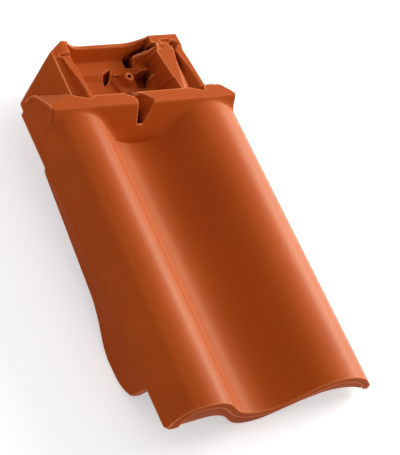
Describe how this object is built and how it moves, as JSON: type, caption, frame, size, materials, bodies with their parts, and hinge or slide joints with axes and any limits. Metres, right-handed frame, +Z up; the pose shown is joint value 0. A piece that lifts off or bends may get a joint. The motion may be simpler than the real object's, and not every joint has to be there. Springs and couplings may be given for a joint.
{
  "type": "interlocking roof tile",
  "caption": "Clay verge tile for the course under a roof ridge: a wavy plate with a hanging side flange, a flat cross bar with a ramp and drain notch, and a hollow nailing head.",
  "frame": {"origin": "centre of the footprint, on the floor that the tile lies on", "axes": "+Z up from the floor; +Y along the rolls from the front edge to the head; +X from the verge flange towards the cover edge. The tile is stored as it comes to rest, its verge side raised about 10 degrees on the flange."},
  "size_m": [0.2592, 0.4504, 0.0989],
  "materials": {
    "fired_clay": "brick-red engobed clay, satin on the weather face and matt underneath"
  },
  "bodies": {
    "root": {"roof_tile": "fired_clay"}
  },
  "joints": []
}
